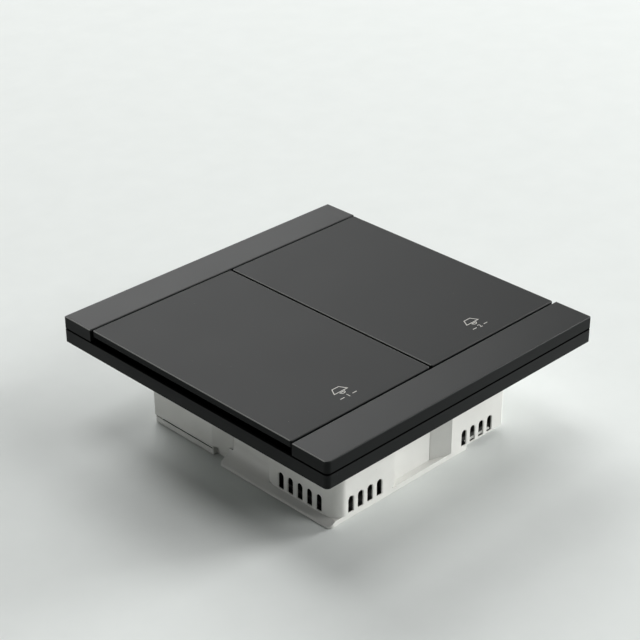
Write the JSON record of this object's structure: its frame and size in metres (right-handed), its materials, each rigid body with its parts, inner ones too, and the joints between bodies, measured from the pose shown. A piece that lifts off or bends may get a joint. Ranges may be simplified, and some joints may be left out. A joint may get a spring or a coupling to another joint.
{
  "type": "wall light switch",
  "caption": "Square wall light switch with large sprung press keys between two dark strips, on a white vented housing with flip contacts inside.",
  "frame": {"origin": "under the middle of the plate, on the back of the base cover", "axes": "+Z out of the face, +Y to the top of the plate (where the keys hinge), +X to the reader's right"},
  "size_m": [0.086, 0.086, 0.0297],
  "materials": {
    "satin_key": "fine satin, dark grey",
    "satin_strip": "satin, dark grey, a little lighter",
    "frame_black": "smooth moulded black",
    "housing_white": "moulded warm white",
    "zinc_steel": "zinc plated",
    "screw_steel": "zinc plated",
    "clamp_steel": "plated",
    "spring_steel": "drawn wire",
    "acetal_white": "natural acetal",
    "rocker_orange": "moulded orange",
    "brass": "rolled strip",
    "silver_contact": "silver rivet"
  },
  "bodies": {
    "root": {"base_cover": "housing_white", "bottom_strip": "satin_strip", "cover_screws": "screw_steel", "fixed_contacts": "silver_contact", "housing_shell": "housing_white", "left_common_bar": "brass", "left_lower_outlet_bar": "brass", "left_return_spring": "spring_steel", "left_upper_outlet_bar": "brass", "mounting_yoke": "zinc_steel", "panel_frame": "frame_black", "right_common_bar": "brass", "right_lower_outlet_bar": "brass", "right_return_spring": "spring_steel", "right_upper_outlet_bar": "brass", "rocker_axles": "screw_steel", "terminal_clamps": "clamp_steel", "terminal_screws": "screw_steel", "top_strip": "satin_strip", "yoke_screws": "screw_steel"},
    "left_key": {"left_key": "satin_key", "left_pusher_pin": "screw_steel"},
    "left_pusher": {"left_pusher": "acetal_white"},
    "left_rocker": {"left_rocker": "rocker_orange"},
    "left_plunger": {"left_plunger": "acetal_white", "left_plunger_spring": "spring_steel"},
    "left_contact_arm": {"left_contact_arm": "brass", "left_moving_contacts": "silver_contact"},
    "right_key": {"right_key": "satin_key", "right_pusher_pin": "screw_steel"},
    "right_pusher": {"right_pusher": "acetal_white"},
    "right_rocker": {"right_rocker": "rocker_orange"},
    "right_plunger": {"right_plunger": "acetal_white", "right_plunger_spring": "spring_steel"},
    "right_contact_arm": {"right_contact_arm": "brass", "right_moving_contacts": "silver_contact"}
  },
  "joints": [
    {"name": "left_key_press", "type": "hinge", "parent": "root", "child": "left_key", "pos_m": [-0.02145, 0.031, 0.0262], "axis": [1, 0, 0], "range_deg": [0, 1.2], "stiffness_Nm_per_rad": 2, "springref_deg": -2.86, "deforming": ["left_return_spring"]},
    {"name": "left_pusher_swing", "type": "hinge", "parent": "left_key", "child": "left_pusher", "pos_m": [-0.0136, -0.006, 0.0254], "axis": [1, 0, 0], "range_deg": [-15, 0]},
    {"name": "left_rocker_flip", "type": "hinge", "parent": "root", "child": "left_rocker", "pos_m": [-0.0136, -0.006, 0.0152], "axis": [1, 0, 0], "range_deg": [0, 20]},
    {"name": "left_plunger_slide", "type": "slide", "parent": "left_rocker", "child": "left_plunger", "axis": [0, 0.1736, 0.9848], "range_m": [0, 0.0005], "stiffness_N_per_m": 300, "springref_m": -0.002, "deforming": ["left_plunger_spring"]},
    {"name": "left_contact_flip", "type": "hinge", "parent": "root", "child": "left_contact_arm", "pos_m": [-0.0136, -0.006, 0.00705], "axis": [1, 0, 0], "range_deg": [-12, 0]},
    {"name": "right_key_press", "type": "hinge", "parent": "root", "child": "right_key", "pos_m": [0.02145, 0.031, 0.0262], "axis": [1, 0, 0], "range_deg": [0, 1.2], "stiffness_Nm_per_rad": 2, "springref_deg": -2.86, "deforming": ["right_return_spring"]},
    {"name": "right_pusher_swing", "type": "hinge", "parent": "right_key", "child": "right_pusher", "pos_m": [0.0136, -0.006, 0.0254], "axis": [1, 0, 0], "range_deg": [-15, 0]},
    {"name": "right_rocker_flip", "type": "hinge", "parent": "root", "child": "right_rocker", "pos_m": [0.0136, -0.006, 0.0152], "axis": [1, 0, 0], "range_deg": [0, 20]},
    {"name": "right_plunger_slide", "type": "slide", "parent": "right_rocker", "child": "right_plunger", "axis": [0, 0.1736, 0.9848], "range_m": [0, 0.0005], "stiffness_N_per_m": 300, "springref_m": -0.002, "deforming": ["right_plunger_spring"]},
    {"name": "right_contact_flip", "type": "hinge", "parent": "root", "child": "right_contact_arm", "pos_m": [0.0136, -0.006, 0.00705], "axis": [1, 0, 0], "range_deg": [-12, 0]}
  ],
  "couplings": [
    {"joint": "left_pusher_swing", "follows": "left_key_press", "ratio": -12.5},
    {"joint": "left_rocker_flip", "follows": "left_key_press", "ratio": 16.667},
    {"joint": "left_contact_flip", "follows": "left_key_press", "ratio": -10},
    {"joint": "right_pusher_swing", "follows": "right_key_press", "ratio": -12.5},
    {"joint": "right_rocker_flip", "follows": "right_key_press", "ratio": 16.667},
    {"joint": "right_contact_flip", "follows": "right_key_press", "ratio": -10}
  ]
}
